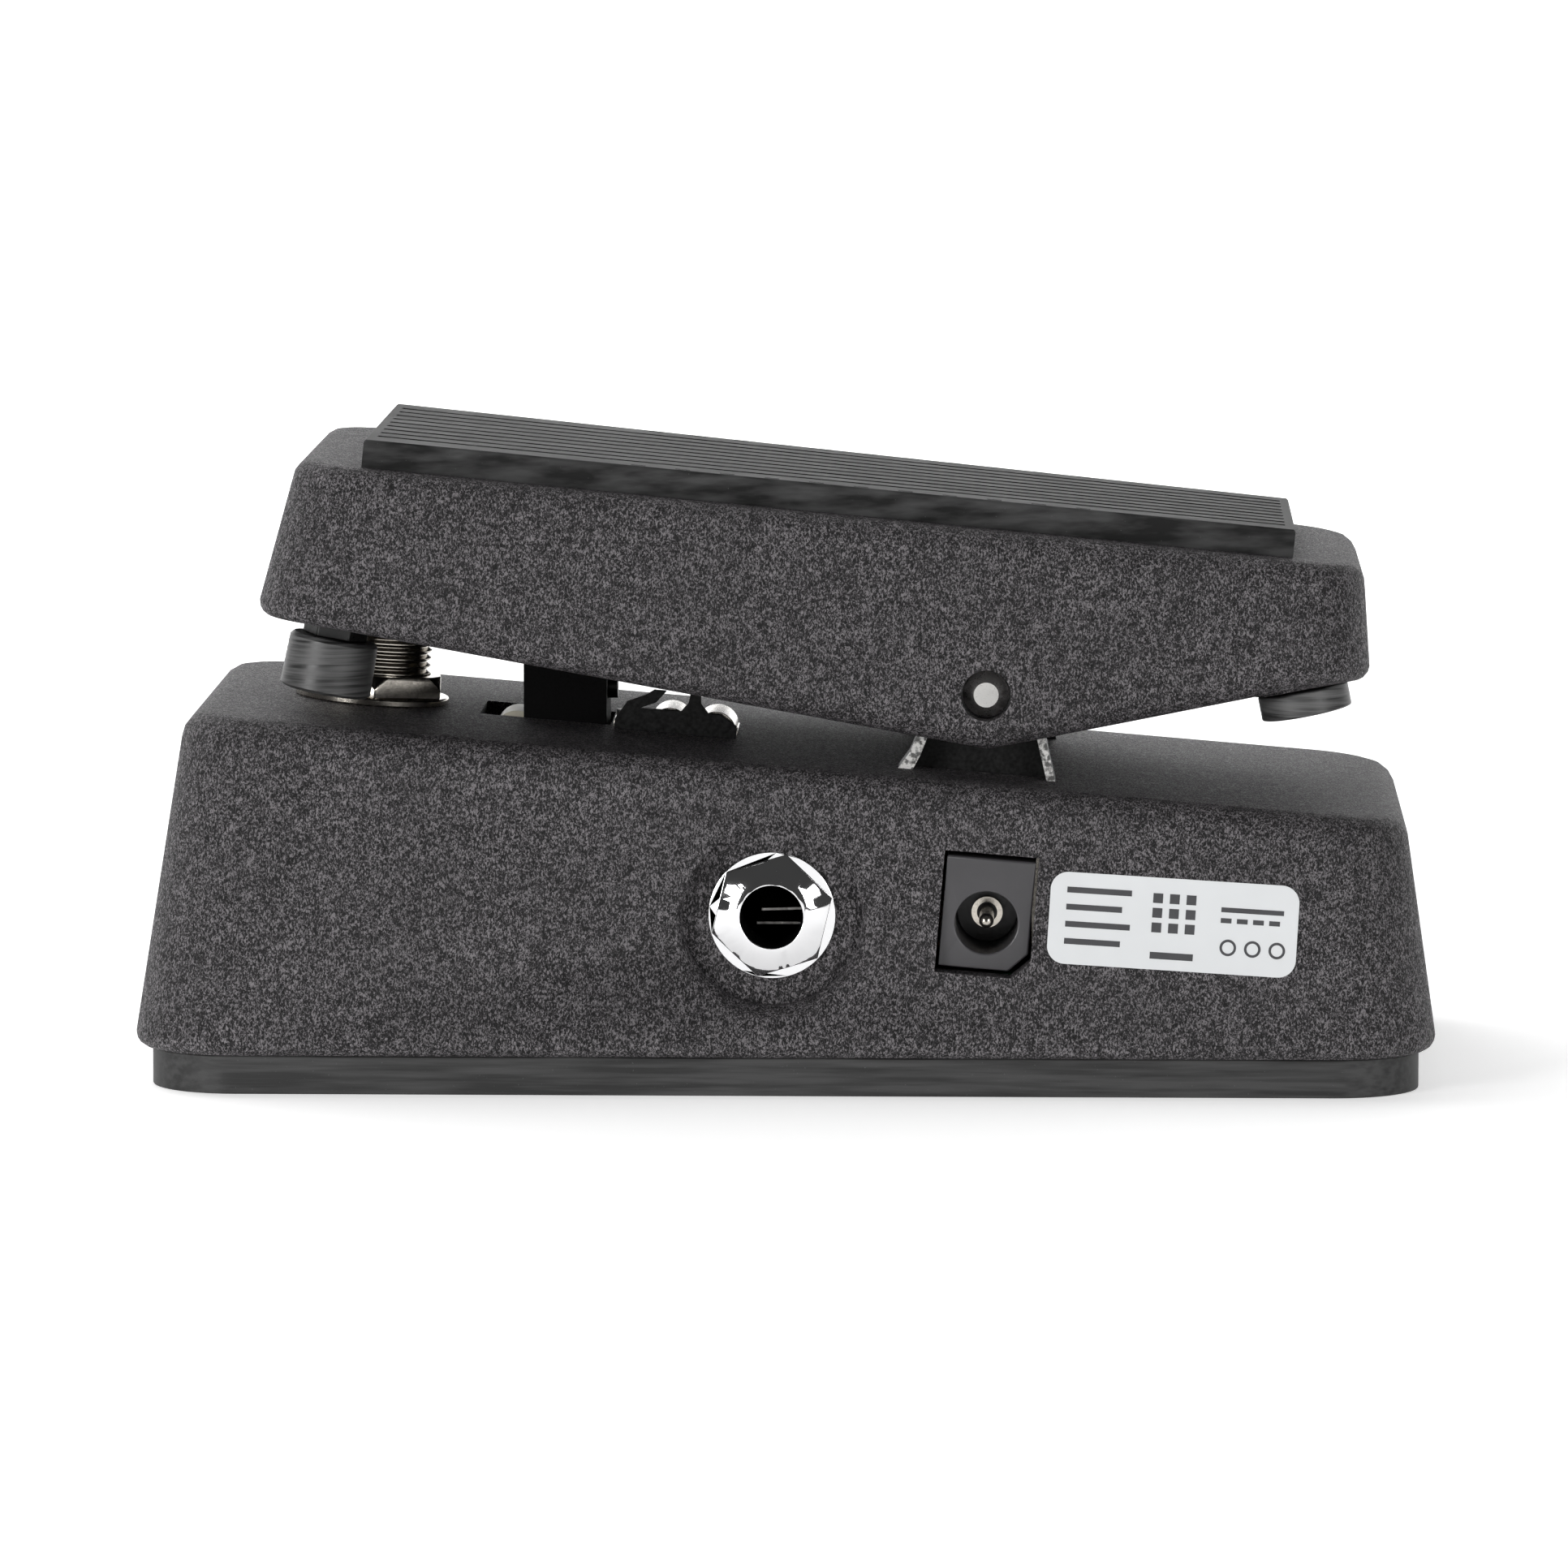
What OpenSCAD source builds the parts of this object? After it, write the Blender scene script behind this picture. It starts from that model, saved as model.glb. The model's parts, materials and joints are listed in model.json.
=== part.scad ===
// Rocker (wah) pedal: a die-cast base with a hinged treadle that drives a
// potentiometer through a toothed sector. X runs from toe (-) to heel (+),
// Z is up, and the origin is the bottom centre.

/* [Base] */
// Length of the base housing at its lip
base_len = 134; // [130:1:138]
// Width of the base housing at its lip
base_w = 72; // [70:1:75]
// Height of the base's top crease at the toe
base_toe_h = 38.6; // [37.5:0.1:39]
// Wall of the cast housing
base_wall = 3; // [2.5:0.1:3.2]

/* [Treadle] */
// Height of the pivot axis above the floor
pivot_z = 40.6; // [40.4:0.1:41.5]
// Distance of the pivot axis from the middle, towards the heel
pivot_x = 20.7; // [20.2:0.1:21.2]
// Slope of the treadle's top when the pedal is at rest
treadle_tilt = 5.7; // [5.6:0.1:6]
// Wall of the cast treadle
treadle_wall = 2.6; // [2.2:0.1:2.8]
// Thickness of the rubber tread
tread_t = 2.9; // [2:0.1:3.5]

/* [Fittings] */
// Diameter of the pivot pin
pin_d = 4.76; // [4:0.02:4.8]
// Bore of the jack, for a 6.35 mm plug
jack_bore_d = 6.5; // [6.4:0.05:6.8]
// Thread diameter of the footswitch
switch_d = 11.9; // [11:0.1:12]
// Teeth on the pinion
pinion_teeth = 10; // [10:1:10]
// Tooth module of the pinion and the sector
tooth_module = 0.8; // [0.78:0.01:0.82]

/* [Hidden] */
$fn = 48;
eps = 0.01;

// Colours of the materials
paint = "#2b2b2c";
rubber = "#1a1a1a";
steel = "#b9b9b4";
nickel = "#a49d92";
nylon = "#e8e2cf";
black_plastic = "#141414";

// Base: derived sizes
base_slope = 4.84;
base_lip_z = 5.5;
base_floor_z = 4;
base_toe_x = -59.7 - (base_len - 134) / 2;
base_heel_x = 62.7 + (base_len - 134) / 2;
top_toe_x = base_toe_x + 6.4;
top_heel_x = base_heel_x - 7.5;
side_draft = 0.114;
lip_plan_r = 10.5;
lip_edge_r = 1.5;
top_plan_r = 9;
top_edge_r = 3;
plate_t = 1.2;
plate_top_z = base_floor_z + plate_t;
plate_screw_x = 52.5;
plate_screw_y = 24;
function base_top(x) = base_toe_h - tan(base_slope) * (x - base_toe_x);
function base_ceiling(x) = base_top(x) - base_wall / cos(base_slope);
// Centre of the top edge's rounding; the top lies a hair under what is screwed to it
seat_gap = 0.01;
function top_ring_z(x) = base_top(x) - top_edge_r / cos(base_slope) - seat_gap;
// Outside of the drafted side wall at height z
function base_side(z) = base_w / 2 - side_draft * (z - base_lip_z);
// Centre of a corner ring at height z that touches the side wall from inside
function base_ring_y(z, plan_r, edge_r) = base_side(z) - (plan_r - edge_r)
    - edge_r * sqrt(1 + side_draft * side_draft);

// Treadle: derived sizes, in a frame at the pivot that leans with its top
tread_z = 16.6;
toe_draft_x = -67.5;
heel_draft_x = 31.1;
treadle_taper = 0.0394;
treadle_draft = 0.1425;
treadle_half_w = 28.0;
ceiling_z = tread_z - 3;
treadle_lean = sqrt(1 + treadle_taper * treadle_taper + treadle_draft * treadle_draft);
// Outside of the treadle's side wall at x, z in its own frame
function treadle_side(x, z) = treadle_half_w - treadle_taper * x - treadle_draft * z;
// Centre of a corner ring that touches the side wall from inside
function treadle_ring_y(x, z, plan_r, edge_r) = treadle_side(x, z) - (plan_r - edge_r)
    - edge_r * treadle_lean;

// Gear train
sector_teeth = 125;
sector_r = tooth_module * sector_teeth / 2;
pinion_r = tooth_module * pinion_teeth / 2;
mesh_angle = 20;
rack_half_w = 3.5;
pinion_x = pivot_x - (sector_r - pinion_r) * cos(mesh_angle);
pinion_z = pivot_z - (sector_r - pinion_r) * sin(mesh_angle);
shaft_r = 3;

// Footswitch
switch_x = -44.3;

// Jacks
jack_x = -1.1;
jack_z = 18.5;
jack_floor_y = 32.4;
jack_face_y = 34.6;
jack_inner_y = jack_floor_y - base_wall;
jack_recess_r = 9.25;
jack_barrel_r = 3.9;
dc_x = 20.9;
dc_z = 18.8;
dc_hole_drop = 0.9;
dc_lean = base_slope;
dc_floor_y = 33.6;

// Pivot bracket, rack guide and circuit board
bracket_ear_y = 19.5;
bracket_top_z = 46;
bracket_screw_places = [[16, -9], [16, 9], [24, -9], [24, 9]];
guide_x = -12;
guide_y = -4;
guide_screw_x = -17;
board_x = 18;
board_z = 10.4;
board_t = 1.6;
board_len = 22;
board_w = 57;
board_screw_places = [[-8.6, 25], [8.6, 25], [-8.6, -18.5], [8.6, -18.5]];

// ---- helpers ----

// An outline in the XZ plane, extruded from y0 to y1
module xz(y0, y1) {
    translate([0, y1, 0])
        rotate([90, 0, 0])
            linear_extrude(y1 - y0)
                children();
}

// A round bar along Y from y0 to y1
module ybar(x, z, r, y0, y1) {
    translate([x, y1, z])
        rotate([90, 0, 0])
            cylinder(r = r, h = y1 - y0);
}

// A ring whose outside is a rounded edge: plan radius and edge radius
module corner_ring(plan_r, edge_r) {
    rotate_extrude($fn = 32)
        translate([plan_r - edge_r, 0])
            circle(r = edge_r, $fn = 16);
}

// A rectangle with round corners, centred
module round_rect(l, w, r) {
    for (sx = [-1, 1], sy = [-1, 1])
        translate([sx * (l / 2 - r), sy * (w / 2 - r)])
            circle(r = r);
    square([l, w - 2 * r], center = true);
    square([l - 2 * r, w], center = true);
}

// Puts children on the base's sloping top at x, y, with Z along its normal
module on_base(x, y = 0) {
    translate([x, y, base_top(x)])
        rotate([0, base_slope, 0])
            children();
}

// The treadle's own frame: at the pivot, X along its top towards the heel
module in_treadle() {
    translate([pivot_x, 0, pivot_z])
        rotate([0, treadle_tilt, 0])
            children();
}

// ---- base ----

module base_outer() {
    hull() {
        for (sx = [-1, 1], sy = [-1, 1])
            translate([sx * (base_len / 2 - lip_plan_r), sy * (base_w / 2 - lip_plan_r), base_lip_z])
                corner_ring(lip_plan_r, lip_edge_r);
        for (x = [top_toe_x, top_heel_x], sy = [-1, 1])
            translate([x, sy * base_ring_y(top_ring_z(x), top_plan_r, top_edge_r), top_ring_z(x)])
                rotate([0, base_slope, 0])
                    corner_ring(top_plan_r, top_edge_r);
    }
}

module base_cavity() {
    cavity_r = 6.4;
    hull() {
        for (sx = [-1, 1], sy = [-1, 1])
            translate([sx * (base_len / 2 - 3.4 - cavity_r), sy * (base_w / 2 - 3.4 - cavity_r), 0])
                cylinder(r = cavity_r, h = base_lip_z, $fn = 32);
        for (x = [top_toe_x, top_heel_x], sy = [-1, 1])
            translate([x, sy * (base_side(base_ceiling(x)) - base_wall - cavity_r), base_ceiling(x)])
                rotate([0, base_slope, 0])
                    translate([0, 0, -1])
                        cylinder(r = cavity_r, h = 1, $fn = 32);
    }
}

module switch_hole(r) {
    on_base(switch_x)
        translate([0, 0, -40])
            cylinder(r = r, h = 80);
}

module base_housing() {
    boss_r = 4.2;
    jack_boss_r = 10.6;
    color(paint)
    difference() {
        union() {
            difference() {
                base_outer();
                base_cavity();
            }
            // Screw bosses for the bottom plate
            for (sx = [-1, 1], sy = [-1, 1])
                translate([sx * plate_screw_x, sy * plate_screw_y, plate_top_z])
                    cylinder(r = boss_r, h = base_ceiling(sx * plate_screw_x) - plate_top_z + 1);
            // Thick walls behind the jack recesses and the power socket
            for (s = [-1, 1])
                ybar(jack_x, jack_z, jack_boss_r, s > 0 ? jack_inner_y : -jack_floor_y - 0.6,
                    s > 0 ? jack_floor_y + 0.6 : -jack_inner_y);
        }
        for (sx = [-1, 1], sy = [-1, 1])
            translate([sx * plate_screw_x, sy * plate_screw_y, plate_top_z - eps])
                cylinder(r = 1.6, h = 12);
        for (s = [-1, 1]) {
            // Jack recess and its hole
            translate([0, s * (jack_floor_y + 5), 0])
                ybar(jack_x, jack_z, jack_recess_r, -5, 5);
            translate([jack_x, s * jack_floor_y, jack_z])
                rotate([s > 0 ? -90 : 90, 0, 0])
                    cylinder(r1 = jack_recess_r - 0.9, r2 = jack_recess_r + 1.3, h = 3.6);
            ybar(jack_x, jack_z, jack_barrel_r + 0.1, s > 0 ? 25 : -40, s > 0 ? 40 : -25);
        }
        // Power socket cut-out, with one corner clipped
        translate([dc_x, 0, dc_z])
            rotate([0, dc_lean, 0])
                xz(-40, -26)
                    dc_outline(9.7, 12.4, 1.9);
        // Slot for the rack arm
        translate([-25.7, 1, base_top(-25.7)])
            rotate([0, base_slope, 0])
                cube([13.7, 13, 20], center = true);
        switch_hole(switch_d / 2 + 0.15);
        // Bracket, guide and board screw holes
        for (p = bracket_screw_places)
            on_base(p[0], p[1])
                translate([0, 0, -10])
                    cylinder(r = 1.6, h = 20);
        on_base(guide_screw_x, guide_y)
            translate([0, 0, -10])
                cylinder(r = 1.4, h = 20);
    }
}

// Outline of the power socket: a rectangle with its lower heel corner clipped
module dc_outline(w, h, clip) {
    polygon([[-w / 2, h / 2], [w / 2, h / 2], [w / 2, -h / 2 + clip], [w / 2 - clip, -h / 2],
        [-w / 2, -h / 2]]);
}

module bottom_plate() {
    color(steel)
    translate([0, 0, base_floor_z])
        difference() {
            linear_extrude(plate_t)
                round_rect(base_len - 7.4, base_w - 7.4, 6.2);
            for (sx = [-1, 1], sy = [-1, 1])
                translate([sx * plate_screw_x, sy * plate_screw_y, -eps])
                    cylinder(r = 1.8, h = 3);
        }
}

module rubber_foot_pad() {
    pad_inset = 1.7;
    color(rubber)
    difference() {
        linear_extrude(base_floor_z)
            round_rect(base_len - 2 * pad_inset, base_w - 2 * pad_inset, 9);
        for (sx = [-1, 1], sy = [-1, 1])
            translate([sx * plate_screw_x, sy * plate_screw_y, -eps])
                cylinder(r = 4, h = 10);
    }
}

module plate_screws() {
    color(steel)
    for (sx = [-1, 1], sy = [-1, 1])
        translate([sx * plate_screw_x, sy * plate_screw_y, 0])
            difference() {
                union() {
                    translate([0, 0, base_floor_z - 1.8])
                        cylinder(r = 3, h = 1.8);
                    translate([0, 0, base_floor_z - 1])
                        cylinder(r = 1.5, h = 12);
                }
                cross_recess(base_floor_z - 1.8);
            }
}

// A cross-shaped driver recess cut upwards from height z
module cross_recess(z) {
    for (a = [0, 90])
        rotate([0, 0, a])
            translate([-1.5, -0.3, z - eps])
                cube([3, 0.6, 1]);
}

module pivot_bracket() {
    sheet = 1.2;
    flange_y = 22.6;
    foot_l = 12.2;
    foot_r = 27.8;
    color("#191919")
    difference() {
        union() {
            // Plate that lies on the base
            on_base((foot_l + foot_r) / 2)
                translate([-6.4, -bracket_ear_y, 0])
                    cube([12.8, 2 * bracket_ear_y, sheet]);
            for (s = [-1, 1]) {
                y_in = s > 0 ? bracket_ear_y - sheet : -bracket_ear_y;
                // Ear that holds the pin
                xz(y_in, y_in + sheet)
                    bracket_ear(foot_l + 1, foot_r - 1);
                // Stiffening flanges turned outward
                y_fl = s > 0 ? bracket_ear_y - sheet : -flange_y;
                xz(y_fl, y_fl + flange_y - bracket_ear_y + sheet)
                    bracket_flange_outline(foot_l, foot_r);
            }
        }
        ybar(pivot_x, pivot_z, pin_d / 2 + 0.01, -30, 30);
        for (p = bracket_screw_places)
            on_base(p[0], p[1])
                translate([0, 0, -1])
                    cylinder(r = 1.7, h = 4);
    }
}

module bracket_ear(x0, x1) {
    polygon([[x0 - 0.4, base_top(x0)], [x0 + 2, 36.5], [x0 + 3.6, bracket_top_z],
        [x1 - 3.4, bracket_top_z], [x1 - 0.2, 36.5], [x1 + 0.4, base_top(x1)]]);
}

// The two outward flanges seen from the side; the toe one kicks out at its foot
module bracket_flange_outline(x0, x1) {
    t = 0.9;
    polygon([[x0 - 0.6, base_top(x0 - 0.6)], [x0 + 0.9, base_top(x0 + 0.9)],
        [x0 + 1.7, base_top(x0) + 1.4], [x0 + 2.7, 36.5], [x0 + 4.4, 44],
        [x0 + 4.4 - t, 44], [x0 + 1.6, 36.5], [x0 + 0.6, base_top(x0) + 1.7]]);
    polygon([[x1, base_top(x1)], [x1 - t, base_top(x1 - t)], [x1 - 2.1, 36.5], [x1 - 4.4, 44],
        [x1 - 4.4 + t, 44], [x1 - 2.1 + t, 36.5]]);
}

module bracket_screws() {
    color(steel)
    for (p = bracket_screw_places)
        on_base(p[0], p[1])
            difference() {
                union() {
                    translate([0, 0, 1.2])
                        cylinder(r = 2.8, h = 1.6);
                    translate([0, 0, -4.5])
                        cylinder(r = 1.5, h = 6);
                }
                translate([0, 0, 2.8])
                    rotate([180, 0, 0])
                        cross_recess(0);
            }
}

module pivot_pin() {
    pin_half = 27;
    chamfer = 1.1;
    color("#d0cfca")
    translate([pivot_x, 0, pivot_z])
        rotate([90, 0, 0])
            rotate_extrude()
                polygon([[0, -pin_half], [pin_d / 2 - chamfer, -pin_half], [pin_d / 2, -pin_half + chamfer],
                    [pin_d / 2, pin_half - chamfer], [pin_d / 2 - chamfer, pin_half], [0, pin_half]]);
}

// ---- treadle ----

// Corners of the treadle: [x, z, plan radius, edge radius]
treadle_corners = [[-65.4, tread_z - 2, 8, 2], [29.8, tread_z - 2.5, 8, 2.5],
    [toe_draft_x, 1.8, 8, 1.5], [heel_draft_x, 6.1, 8, 1.5]];
keel_x = 0.5;
keel_z = -3.1;
keel_r = 2.5;

module treadle_outer() {
    hull()
        for (s = [-1, 1]) {
            for (c = treadle_corners)
                translate([c[0], s * treadle_ring_y(c[0], c[1], c[2], c[3]), c[1]])
                    corner_ring(c[2], c[3]);
            translate([keel_x, s * treadle_ring_y(keel_x, keel_z, keel_r, keel_r), keel_z])
                sphere(r = keel_r, $fn = 24);
        }
}

module treadle_cavity() {
    cavity_r = 5.4;
    floor_z = -9;
    hull()
        for (s = [-1, 1])
            for (c = treadle_corners) {
                top = c[1] > 10;
                side = treadle_side(c[0], top ? ceiling_z : floor_z);
                translate([c[0], s * (side - treadle_wall - cavity_r), top ? ceiling_z - 1 : floor_z])
                    cylinder(r = cavity_r, h = 1, $fn = 32);
            }
}

// Places of the bumpers in the treadle's frame: x, z of the face, and lean
toe_bumper_y = 15;
heel_bumper_y = 17.5;
module at_toe_bumper(s) {
    translate([-68.4, s * toe_bumper_y, -7.8])
        rotate([0, 5, 0])
            children();
}
module at_heel_bumper(s) {
    translate([33.2, s * heel_bumper_y, 0.65])
        rotate([0, -17, 0])
            children();
}

toe_bumper_r = 4.75;
toe_bumper_h = 5.7;
heel_bumper_h = 2.5;
stud_r = 1.5;

module treadle() {
    striker_z = 3.3;
    color(paint)
    in_treadle()
        difference() {
            union() {
                difference() {
                    treadle_outer();
                    treadle_cavity();
                }
                intersection() {
                    treadle_outer();
                    union() {
                        // Bushing bosses
                        for (s = [-1, 1])
                            ybar(0, 0, 5.2, s > 0 ? 23.4 : -26.5, s > 0 ? 26.5 : -23.4);
                        // Bumper bosses
                        for (s = [-1, 1]) {
                            at_toe_bumper(s)
                                translate([0, 0, toe_bumper_h + 2.2])
                                    cylinder(r = 5, h = 12);
                            at_heel_bumper(s)
                                translate([0, 0, heel_bumper_h])
                                    cylinder(r = 5.2, h = 9);
                        }
                        // Striker over the footswitch
                        translate([-64.6, 0, striker_z])
                            cylinder(r = 6, h = ceiling_z - striker_z + 1);
                    }
                }
            }
            ybar(0, 0, 2.575, -40, 40);
            ybar(0, 0, 3.5, -25.6, 25.6);
            for (s = [-1, 1]) {
                at_toe_bumper(s)
                    cylinder(r = stud_r, h = 13);
                at_heel_bumper(s)
                    cylinder(r = stud_r, h = 7);
                arm_screw_place(s)
                    arm_screw_shape(0.05);
            }
        }
}

module pivot_bushings() {
    color(nylon)
    in_treadle()
        for (s = [-1, 1])
            difference() {
                union() {
                    ybar(0, 0, 3.5, s > 0 ? 23.4 : -25.6, s > 0 ? 25.6 : -23.4);
                    ybar(0, 0, 4.6, s > 0 ? 22.8 : -23.4, s > 0 ? 23.4 : -22.8);
                }
                ybar(0, 0, pin_d / 2 + 0.05, -30, 30);
            }
}

module tread_pad() {
    toe_x = -66.2;
    heel_x = 30;
    toe_half = 25;
    heel_half = 19.5;
    color(rubber)
    in_treadle()
        translate([0, 0, tread_z])
            linear_extrude(tread_t)
                polygon([[toe_x, -toe_half], [heel_x, -heel_half], [heel_x, heel_half], [toe_x, toe_half]]);
}

module toe_bumpers() {
    color(rubber)
    in_treadle()
        for (s = [-1, 1])
            at_toe_bumper(s)
                cylinder(r = toe_bumper_r, h = toe_bumper_h);
}

module toe_bumper_nuts() {
    color("#262626")
    in_treadle()
        for (s = [-1, 1])
            at_toe_bumper(s)
                translate([0, 0, toe_bumper_h]) {
                    cylinder(r = 3.4, h = 2.2, $fn = 6);
                    cylinder(r = stud_r - 0.02, h = 7);
                }
}

module heel_bumpers() {
    color(rubber)
    in_treadle()
        for (s = [-1, 1])
            at_heel_bumper(s) {
                cylinder(r = 4.7, h = heel_bumper_h);
                cylinder(r = stud_r - 0.02, h = 6.5);
            }
}

// ---- rack ----

arm_x0 = -28;
arm_x1 = -19.3;
arm_half_w = 5;
arm_bottom_z = 33.2;
rack_top_angle = 6.2;
rack_end_angle = 40.2;
rack_outer_r = sector_r + 2.4;
rack_root_r = sector_r + 0.85;
rack_tip_r = sector_r - 0.6;
rack_pin_r = 1.2;
rack_pin_at_r = 50;
rack_eye_r = 2.4;
rack_pin_angle = rack_top_angle + 1.4;

module arm_screw_place(s) {
    translate([-46.4, s * 2.6, tread_z])
        children();
}

// Flat-head screw, head down to the surface, grown by g
module arm_screw_shape(g = 0) {
    head = 1.4;
    translate([0, 0, -9])
        cylinder(r = 1.2 + g, h = 9);
    translate([0, 0, -head])
        cylinder(r1 = 1.2 + g, r2 = 2.4 + g, h = head);
}

// Puts children at a radius and an angle below the horizontal on the toe side
module at_sector(r, angle) {
    translate([pivot_x - r * cos(angle), 0, pivot_z - r * sin(angle)])
        rotate([0, -angle, 0])
            children();
}

module rack_arm() {
    color(black_plastic)
    difference() {
        intersection() {
            xz(-arm_half_w, arm_half_w)
                translate([arm_x0, arm_bottom_z])
                    square([arm_x1 - arm_x0, 40]);
            in_treadle()
                translate([-80, -20, -20])
                    cube([100, 40, 20 + ceiling_z]);
        }
        // Fork around the rack's upper end
        difference() {
            translate([arm_x0 - 1, -rack_half_w - 0.1, arm_bottom_z - 1])
                cube([8, 2 * rack_half_w + 0.2, 5]);
            ybar(pivot_x, pivot_z, rack_pin_at_r - rack_eye_r - 0.3, -10, 10);
        }
        at_sector(rack_pin_at_r, rack_pin_angle)
            ybar(0, 0, rack_pin_r + 0.01, -10, 10);
        in_treadle()
            for (s = [-1, 1])
                arm_screw_place(s)
                    arm_screw_shape(0.05);
        translate([arm_x1 - 4, 0, 38.7])
            rotate([0, 90, 0])
                cylinder(r = 0.9, h = 10);
    }
}

module arm_screws() {
    color(steel)
    in_treadle()
        for (s = [-1, 1])
            arm_screw_place(s)
                arm_screw_shape();
}

module rack_pin() {
    color(steel)
    at_sector(rack_pin_at_r, rack_pin_angle)
        ybar(0, 0, rack_pin_r, -arm_half_w, arm_half_w);
}

module rack_screw() {
    color("#262626")
    translate([arm_x1 - 4, 0, 38.7])
        rotate([0, 90, 0]) {
            cylinder(r = 0.88, h = 4.5);
            translate([0, 0, 4])
                cylinder(r = 1.3, h = 1);
        }
}

half_tooth = 0.5;
flank = tan(20);

// Tooth of the rack, pointing along +X (towards the pivot)
module rack_tooth() {
    root = rack_root_r - sector_r + 0.3;
    tip = sector_r - rack_tip_r;
    polygon([[-root, -half_tooth - root * flank], [tip, -half_tooth + tip * flank],
        [tip, half_tooth - tip * flank], [-root, half_tooth + root * flank]]);
}

// Puts a flat outline at a radius and an angle below the horizontal, with
// +X towards the pivot
module at_sector_flat(r, angle) {
    translate([pivot_x - r * cos(angle), pivot_z - r * sin(angle)])
        rotate(angle)
            children();
}

module toothed_rack() {
    tooth_pitch = 360 / sector_teeth;
    first_tooth = -2;
    last_tooth = 7;
    far = 80;
    color(nylon)
    xz(-rack_half_w, rack_half_w)
        difference() {
            union() {
                intersection() {
                    translate([pivot_x, pivot_z])
                        difference() {
                            circle(r = rack_outer_r, $fn = 360);
                            circle(r = rack_root_r, $fn = 360);
                        }
                    translate([pivot_x, pivot_z])
                        polygon([[0, 0], far * [-cos(rack_top_angle), -sin(rack_top_angle)],
                            far * [-cos(rack_end_angle), -sin(rack_end_angle)]]);
                }
                // Rounded eye at the upper end
                at_sector_flat(rack_pin_at_r, rack_pin_angle)
                    circle(r = rack_eye_r);
                for (i = [first_tooth : last_tooth])
                    at_sector_flat(sector_r, mesh_angle + (i - 0.5) * tooth_pitch)
                        rack_tooth();
            }
            at_sector_flat(rack_pin_at_r, rack_pin_angle)
                circle(r = rack_pin_r + 0.01);
        }
}

// ---- potentiometer ----

pot_plate_y = 6.4;
pot_plate_t = 1.5;
pot_thread_r = 3.5;
pot_body_r = 7;
pot_body_y = pot_plate_y + pot_plate_t;

module pinion() {
    half_w = 3.9;
    tip_r = pinion_r + 0.6;
    root_r = pinion_r - 0.85;
    tip_angle = atan((half_tooth - 0.6 * flank) / tip_r);
    root_angle = atan((half_tooth + 0.85 * flank) / root_r);
    color(nylon)
    xz(-half_w, half_w)
        translate([pinion_x, pinion_z])
            difference() {
                polygon([for (i = [0 : pinion_teeth - 1])
                    for (p = [[root_r, -root_angle], [tip_r, -tip_angle],
                            [tip_r, tip_angle], [root_r, root_angle]])
                        p[0] * [cos(180 + mesh_angle + p[1] + i * 360 / pinion_teeth),
                            sin(180 + mesh_angle + p[1] + i * 360 / pinion_teeth)]]);
                circle(r = 2.01);
            }
}

module pot_shaft() {
    color(steel) {
        ybar(pinion_x, pinion_z, 2, -5, 4.1);
        ybar(pinion_x, pinion_z, shaft_r - 0.5, 4.1, 14);
    }
}

module pot_body() {
    color(steel)
    difference() {
        ybar(pinion_x, pinion_z, pot_body_r, pot_body_y, pot_body_y + 8);
        ybar(pinion_x, pinion_z, shaft_r - 0.2, pot_body_y - 1, pot_body_y + 7);
    }
}

module pot_bushing() {
    color("#b59a55")
    difference() {
        ybar(pinion_x, pinion_z, pot_thread_r, 4.4, pot_body_y);
        ybar(pinion_x, pinion_z, shaft_r - 0.5 + 0.05, 0, 20);
    }
}

module pot_nut() {
    color(steel)
    difference() {
        translate([pinion_x, pot_plate_y, pinion_z])
            rotate([90, 0, 0])
                cylinder(r = 5.4, h = 1.8, $fn = 6);
        ybar(pinion_x, pinion_z, pot_thread_r + 0.01, 0, 20);
    }
}

module pot_bracket() {
    tab = 5;
    x0 = pinion_x - 12;
    x1 = pinion_x + 12;
    color(steel)
    difference() {
        union() {
            xz(pot_plate_y, pot_plate_y + pot_plate_t)
                polygon([[x0, pinion_z - 9], [x1, pinion_z - 9], [x1, base_ceiling(x1) - 0.6],
                    [x0, base_ceiling(x0) - 0.6]]);
            for (x = pot_tab_x)
                on_base(x, pot_plate_y + tab)
                    translate([-2, -tab + 0.7, -base_wall - pot_plate_t])
                        cube([4, 2 * tab, pot_plate_t]);
        }
        ybar(pinion_x, pinion_z, pot_thread_r + 0.01, 0, 20);
        for (x = pot_tab_x)
            on_base(x, pot_plate_y + tab + 1.5)
                translate([0, 0, -8])
                    cylinder(r = 1.26, h = 8);
    }
}
pot_tab_x = [pinion_x - 9.5, pinion_x + 9.5];

module pot_bracket_rivets() {
    color(steel)
    for (x = pot_tab_x)
        on_base(x, pot_plate_y + 6.5) {
            translate([0, 0, -base_wall - pot_plate_t])
                cylinder(r = 1.25, h = pot_plate_t);
            translate([0, 0, -base_wall - pot_plate_t - 1])
                cylinder(r = 2.2, h = 1);
        }
}

// ---- rack guide on the base's top ----

module rack_guide_clip() {
    strip_w = 8;
    sheet = 0.8;
    color(nickel)
    on_base(guide_x, guide_y)
        difference() {
            union() {
                translate([-6.5, -strip_w / 2, 0])
                    cube([13, strip_w, sheet]);
                for (u = [-0.6, 4.2])
                    translate([u, 0, sheet - 0.4])
                        rotate([90, 0, 0])
                            difference() {
                                translate([0, 0, -strip_w / 2])
                                    cylinder(r = 2.2, h = strip_w);
                                translate([0, 0, -strip_w])
                                    cylinder(r = 1.4, h = 2 * strip_w);
                                translate([-5, -10, -strip_w])
                                    cube([10, 9.99, 2 * strip_w]);
                            }
            }
            translate([guide_screw_x - guide_x, 0, -1])
                cylinder(r = 1.2, h = 3);
        }
}

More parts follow.
